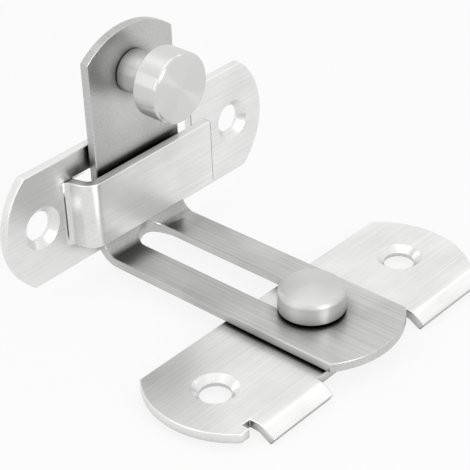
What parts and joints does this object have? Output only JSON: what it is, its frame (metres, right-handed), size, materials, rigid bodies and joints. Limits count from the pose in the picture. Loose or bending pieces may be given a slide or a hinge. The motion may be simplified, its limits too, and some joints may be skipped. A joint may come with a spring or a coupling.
{
  "type": "right angle door latch",
  "caption": "Stainless right angle latch: slotted bent arm with a pull knob slides on a headed stud and hooks behind a lanced strap on a wall keeper.",
  "frame": {"origin": "middle of the two base screws on the base plate's underside, on the stud's axis", "axes": "+X away from the wall along the arm, +Y along both plates, +Z away from the door face"},
  "size_m": [0.0609, 0.0718, 0.0475],
  "materials": {
    "brushed_steel": "brushed stainless sheet",
    "turned_steel": "fine turned stainless"
  },
  "bodies": {
    "base": {"base_plate": "brushed_steel"},
    "stud": {"slide_stud": "turned_steel"},
    "arm": {"latch_arm": "brushed_steel", "pull_knob": "turned_steel"},
    "keeper": {"keeper_plate": "brushed_steel"}
  },
  "joints": [
    {"name": "arm_swivel", "type": "hinge", "parent": "base", "child": "stud", "pos_m": [0, 0, 0], "axis": [0, 0, 1], "continuous": true},
    {"name": "slot_slide", "type": "slide", "parent": "stud", "child": "arm", "axis": [1, 0, 0], "range_m": [0, 0.03]},
    {"name": "keeper_release", "type": "slide", "parent": "arm", "child": "keeper", "axis": [0, -1, 0], "range_m": [0, 0.04]}
  ]
}
